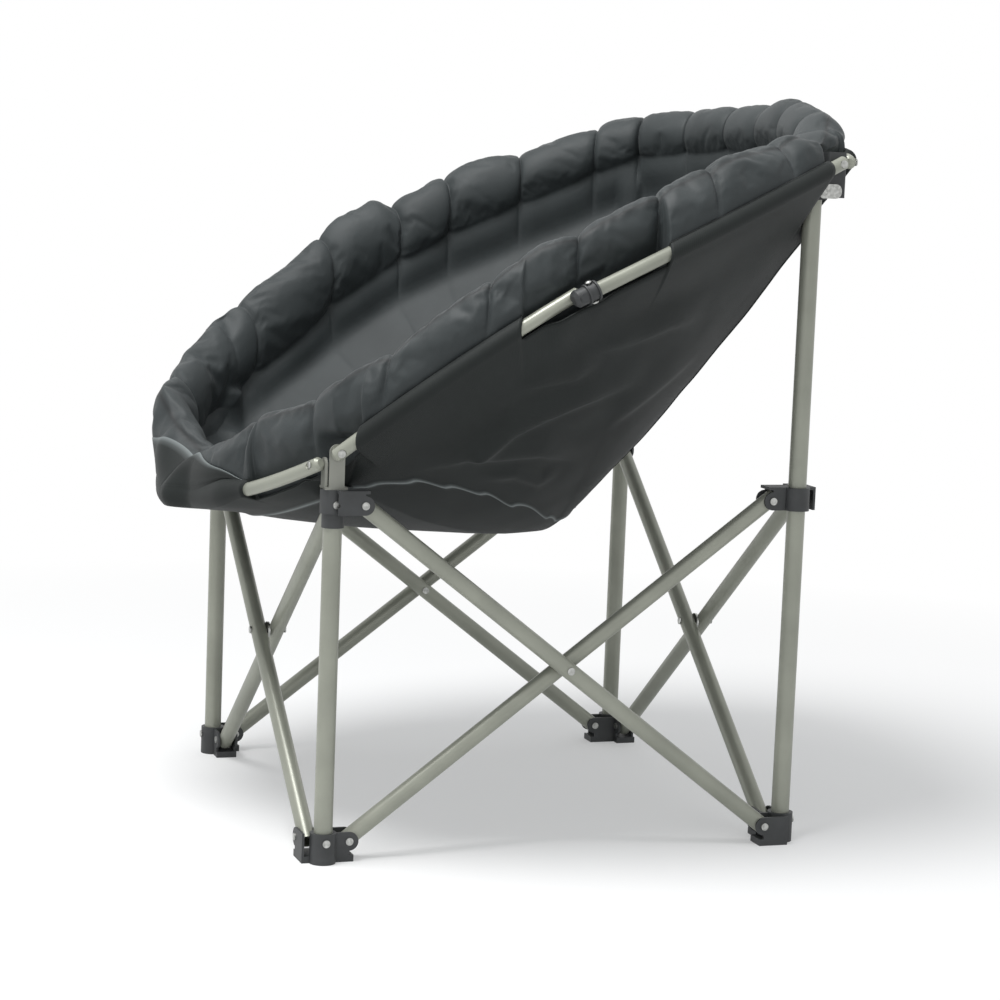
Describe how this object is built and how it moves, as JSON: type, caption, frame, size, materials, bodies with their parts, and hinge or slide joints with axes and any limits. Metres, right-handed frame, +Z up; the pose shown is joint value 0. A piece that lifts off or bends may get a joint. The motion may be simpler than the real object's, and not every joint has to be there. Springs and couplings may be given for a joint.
{
  "type": "folding saucer chair",
  "caption": "Folding camp chair with a round padded bowl seat sewn to a folding tube rim, on four uprights joined by crossed scissor tubes.",
  "frame": {"origin": "on the floor, in the middle of the chair seen from above", "axes": "+X towards the sitter's left, +Y towards the chair's back, +Z up"},
  "size_m": [0.8472, 0.8472, 0.9075],
  "materials": {
    "frame_tube": "matte champagne grey powder coat",
    "corner_plate": "satin grey powder coat",
    "moulded_plastic": "dark grey, lightly textured",
    "rivets": "bright zinc",
    "seat_cloth": "woven polyester with a soft sheen"
  },
  "bodies": {
    "front_left_leg": {"front_left_foot": "moulded_plastic", "front_left_lower_tube": "frame_tube", "front_left_tube_bush": "moulded_plastic", "front_left_foot_rivets": "rivets"},
    "front_right_leg": {"front_right_foot": "moulded_plastic", "front_right_lower_tube": "frame_tube", "front_right_tube_bush": "moulded_plastic", "front_right_foot_rivets": "rivets"},
    "rear_left_leg": {"rear_left_foot": "moulded_plastic", "rear_left_upright": "frame_tube", "rear_left_rim_hub": "moulded_plastic", "rear_left_foot_rivets": "rivets"},
    "rear_right_leg": {"rear_right_foot": "moulded_plastic", "rear_right_upright": "frame_tube", "rear_right_rim_hub": "moulded_plastic", "rear_right_foot_rivets": "rivets"},
    "front_left_slider": {"front_left_upper_bracket": "moulded_plastic", "front_left_inner_tube": "frame_tube", "front_left_rim_bracket": "corner_plate", "front_left_bracket_rivets": "rivets"},
    "front_right_slider": {"front_right_upper_bracket": "moulded_plastic", "front_right_inner_tube": "frame_tube", "front_right_rim_bracket": "corner_plate", "front_right_bracket_rivets": "rivets"},
    "rear_left_slider": {"rear_left_upper_bracket": "moulded_plastic", "rear_left_bracket_rivets": "rivets"},
    "rear_right_slider": {"rear_right_upper_bracket": "moulded_plastic", "rear_right_bracket_rivets": "rivets"},
    "left_inner_pair_bar": {"left_inner_bar": "frame_tube", "left_crossing_rivet": "rivets"},
    "left_outer_pair_bar": {"left_outer_bar": "frame_tube"},
    "front_inner_pair_bar": {"front_inner_bar": "frame_tube"},
    "front_outer_pair_bar": {"front_outer_bar": "frame_tube", "front_crossing_rivet": "rivets"},
    "rear_inner_pair_bar": {"rear_inner_bar": "frame_tube", "rear_crossing_rivet": "rivets"},
    "rear_outer_pair_bar": {"rear_outer_bar": "frame_tube"},
    "right_inner_pair_bar": {"right_inner_bar": "frame_tube"},
    "right_outer_pair_bar": {"right_outer_bar": "frame_tube", "right_crossing_rivet": "rivets"},
    "left_front_rim": {"left_front_rim_tube": "frame_tube", "left_front_seat_gore": "seat_cloth"},
    "left_rear_rim": {"left_rear_rim_tube": "frame_tube", "left_rear_seat_gore": "seat_cloth", "left_rim_joint": "moulded_plastic"},
    "right_front_rim": {"right_front_rim_tube": "frame_tube", "right_front_seat_gore": "seat_cloth"},
    "right_rear_rim": {"right_rear_rim_tube": "frame_tube", "right_rear_seat_gore": "seat_cloth", "right_rim_joint": "moulded_plastic"},
    "front_left_rim": {"front_left_rim_tube": "frame_tube", "front_left_seat_gore": "seat_cloth"},
    "front_right_rim": {"front_right_rim_tube": "frame_tube", "front_right_seat_gore": "seat_cloth", "front_rim_joint": "moulded_plastic"},
    "rear_left_rim": {"rear_left_rim_tube": "frame_tube", "rear_left_seat_gore": "seat_cloth"},
    "rear_right_rim": {"rear_right_rim_tube": "frame_tube", "rear_right_seat_gore": "seat_cloth", "rear_rim_joint": "moulded_plastic"}
  },
  "joints": [
    {"name": "fold", "type": "hinge", "parent": "front_left_leg", "child": "left_inner_pair_bar", "pos_m": [0.2785, -0.2585, 0.024], "axis": [1, 0, 0], "range_deg": [0, 50.17], "deforming": ["left_front_seat_gore", "left_rear_seat_gore", "right_front_seat_gore", "right_rear_seat_gore", "front_left_seat_gore", "front_right_seat_gore", "rear_left_seat_gore", "rear_right_seat_gore"]},
    {"name": "left_crossing", "type": "hinge", "parent": "left_inner_pair_bar", "child": "left_outer_pair_bar", "pos_m": [0.29, 0, 0.222], "axis": [1, 0, 0], "range_deg": [-100.35, 0]},
    {"name": "rear_left_leg_turn", "type": "hinge", "parent": "left_outer_pair_bar", "child": "rear_left_leg", "pos_m": [0.3015, 0.2585, 0.024], "axis": [1, 0, 0], "range_deg": [0, 50.17]},
    {"name": "rear_left_slider_turn", "type": "hinge", "parent": "left_inner_pair_bar", "child": "rear_left_slider", "pos_m": [0.2785, 0.2585, 0.42], "axis": [1, 0, 0], "range_deg": [-50.17, 0]},
    {"name": "front_left_slider_turn", "type": "hinge", "parent": "left_outer_pair_bar", "child": "front_left_slider", "pos_m": [0.3015, -0.2585, 0.42], "axis": [1, 0, 0], "range_deg": [0, 50.17]},
    {"name": "front_outer_bar_turn", "type": "hinge", "parent": "front_left_leg", "child": "front_outer_pair_bar", "pos_m": [0.2585, -0.3015, 0.024], "axis": [0, 1, 0], "range_deg": [0, 50.17]},
    {"name": "front_crossing", "type": "hinge", "parent": "front_outer_pair_bar", "child": "front_inner_pair_bar", "pos_m": [0, -0.29, 0.222], "axis": [0, 1, 0], "range_deg": [-100.35, 0]},
    {"name": "front_right_leg_turn", "type": "hinge", "parent": "front_inner_pair_bar", "child": "front_right_leg", "pos_m": [-0.2585, -0.2785, 0.024], "axis": [0, 1, 0], "range_deg": [0, 50.17]},
    {"name": "front_right_slider_turn", "type": "hinge", "parent": "front_outer_pair_bar", "child": "front_right_slider", "pos_m": [-0.2585, -0.3015, 0.42], "axis": [0, 1, 0], "range_deg": [-50.17, 0]},
    {"name": "rear_inner_bar_turn", "type": "hinge", "parent": "rear_left_leg", "child": "rear_inner_pair_bar", "pos_m": [0.2585, 0.2785, 0.024], "axis": [0, 1, 0], "range_deg": [0, 50.17]},
    {"name": "rear_crossing", "type": "hinge", "parent": "rear_inner_pair_bar", "child": "rear_outer_pair_bar", "pos_m": [0, 0.29, 0.222], "axis": [0, 1, 0], "range_deg": [-100.35, 0]},
    {"name": "rear_right_leg_turn", "type": "hinge", "parent": "rear_outer_pair_bar", "child": "rear_right_leg", "pos_m": [-0.2585, 0.3015, 0.024], "axis": [0, 1, 0], "range_deg": [0, 50.17]},
    {"name": "rear_right_slider_turn", "type": "hinge", "parent": "rear_inner_pair_bar", "child": "rear_right_slider", "pos_m": [-0.2585, 0.2785, 0.42], "axis": [0, 1, 0], "range_deg": [-50.17, 0]},
    {"name": "right_outer_bar_turn", "type": "hinge", "parent": "front_right_leg", "child": "right_outer_pair_bar", "pos_m": [-0.3015, -0.2585, 0.024], "axis": [1, 0, 0], "range_deg": [0, 50.17]},
    {"name": "right_crossing", "type": "hinge", "parent": "right_outer_pair_bar", "child": "right_inner_pair_bar", "pos_m": [-0.29, 0, 0.222], "axis": [1, 0, 0], "range_deg": [-100.35, 0]},
    {"name": "left_front_rim_turn", "type": "hinge", "parent": "front_left_slider", "child": "left_front_rim", "pos_m": [0.3113, -0.29, 0.48], "axis": [1, 0, 0], "range_deg": [-111.73, 0]},
    {"name": "left_rear_rim_turn", "type": "hinge", "parent": "rear_left_leg", "child": "left_rear_rim", "pos_m": [0.3203, 0.31, 0.826], "axis": [1, 0, 0], "range_deg": [0, 61.85]},
    {"name": "right_front_rim_turn", "type": "hinge", "parent": "front_right_slider", "child": "right_front_rim", "pos_m": [-0.3113, -0.29, 0.48], "axis": [1, 0, 0], "range_deg": [-111.73, 0]},
    {"name": "right_rear_rim_turn", "type": "hinge", "parent": "rear_right_leg", "child": "right_rear_rim", "pos_m": [-0.3203, 0.31, 0.826], "axis": [1, 0, 0], "range_deg": [0, 61.85]},
    {"name": "front_left_rim_turn", "type": "hinge", "parent": "front_left_slider", "child": "front_left_rim", "pos_m": [0.29, -0.3113, 0.464], "axis": [0, 1, 0], "range_deg": [-67.93, 0]},
    {"name": "front_right_rim_turn", "type": "hinge", "parent": "front_right_slider", "child": "front_right_rim", "pos_m": [-0.29, -0.3113, 0.464], "axis": [0, 1, 0], "range_deg": [0, 67.93]},
    {"name": "rear_left_rim_turn", "type": "hinge", "parent": "rear_left_leg", "child": "rear_left_rim", "pos_m": [0.3, 0.3303, 0.829], "axis": [0, 1, 0], "range_deg": [-81.74, 0]},
    {"name": "rear_right_rim_turn", "type": "hinge", "parent": "rear_right_leg", "child": "rear_right_rim", "pos_m": [-0.3, 0.3303, 0.829], "axis": [0, 1, 0], "range_deg": [0, 81.74]}
  ],
  "couplings": [
    {"joint": "left_crossing", "follows": "fold", "ratio": -2},
    {"joint": "rear_left_leg_turn", "follows": "fold", "ratio": 1},
    {"joint": "rear_left_slider_turn", "follows": "fold", "ratio": -1},
    {"joint": "front_left_slider_turn", "follows": "fold", "ratio": 1},
    {"joint": "front_outer_bar_turn", "follows": "fold", "ratio": 1},
    {"joint": "front_crossing", "follows": "fold", "ratio": -2},
    {"joint": "front_right_leg_turn", "follows": "fold", "ratio": 1},
    {"joint": "front_right_slider_turn", "follows": "fold", "ratio": -1},
    {"joint": "rear_inner_bar_turn", "follows": "fold", "ratio": 1},
    {"joint": "rear_crossing", "follows": "fold", "ratio": -2},
    {"joint": "rear_right_leg_turn", "follows": "fold", "ratio": 1},
    {"joint": "rear_right_slider_turn", "follows": "fold", "ratio": -1},
    {"joint": "right_outer_bar_turn", "follows": "fold", "ratio": 1},
    {"joint": "right_crossing", "follows": "fold", "ratio": -2},
    {"joint": "left_front_rim_turn", "follows": "fold", "ratio": -2.227},
    {"joint": "left_rear_rim_turn", "follows": "fold", "ratio": 1.2327},
    {"joint": "right_front_rim_turn", "follows": "fold", "ratio": -2.227},
    {"joint": "right_rear_rim_turn", "follows": "fold", "ratio": 1.2327},
    {"joint": "front_left_rim_turn", "follows": "fold", "ratio": -1.354},
    {"joint": "front_right_rim_turn", "follows": "fold", "ratio": 1.354},
    {"joint": "rear_left_rim_turn", "follows": "fold", "ratio": -1.6291},
    {"joint": "rear_right_rim_turn", "follows": "fold", "ratio": 1.6291}
  ]
}
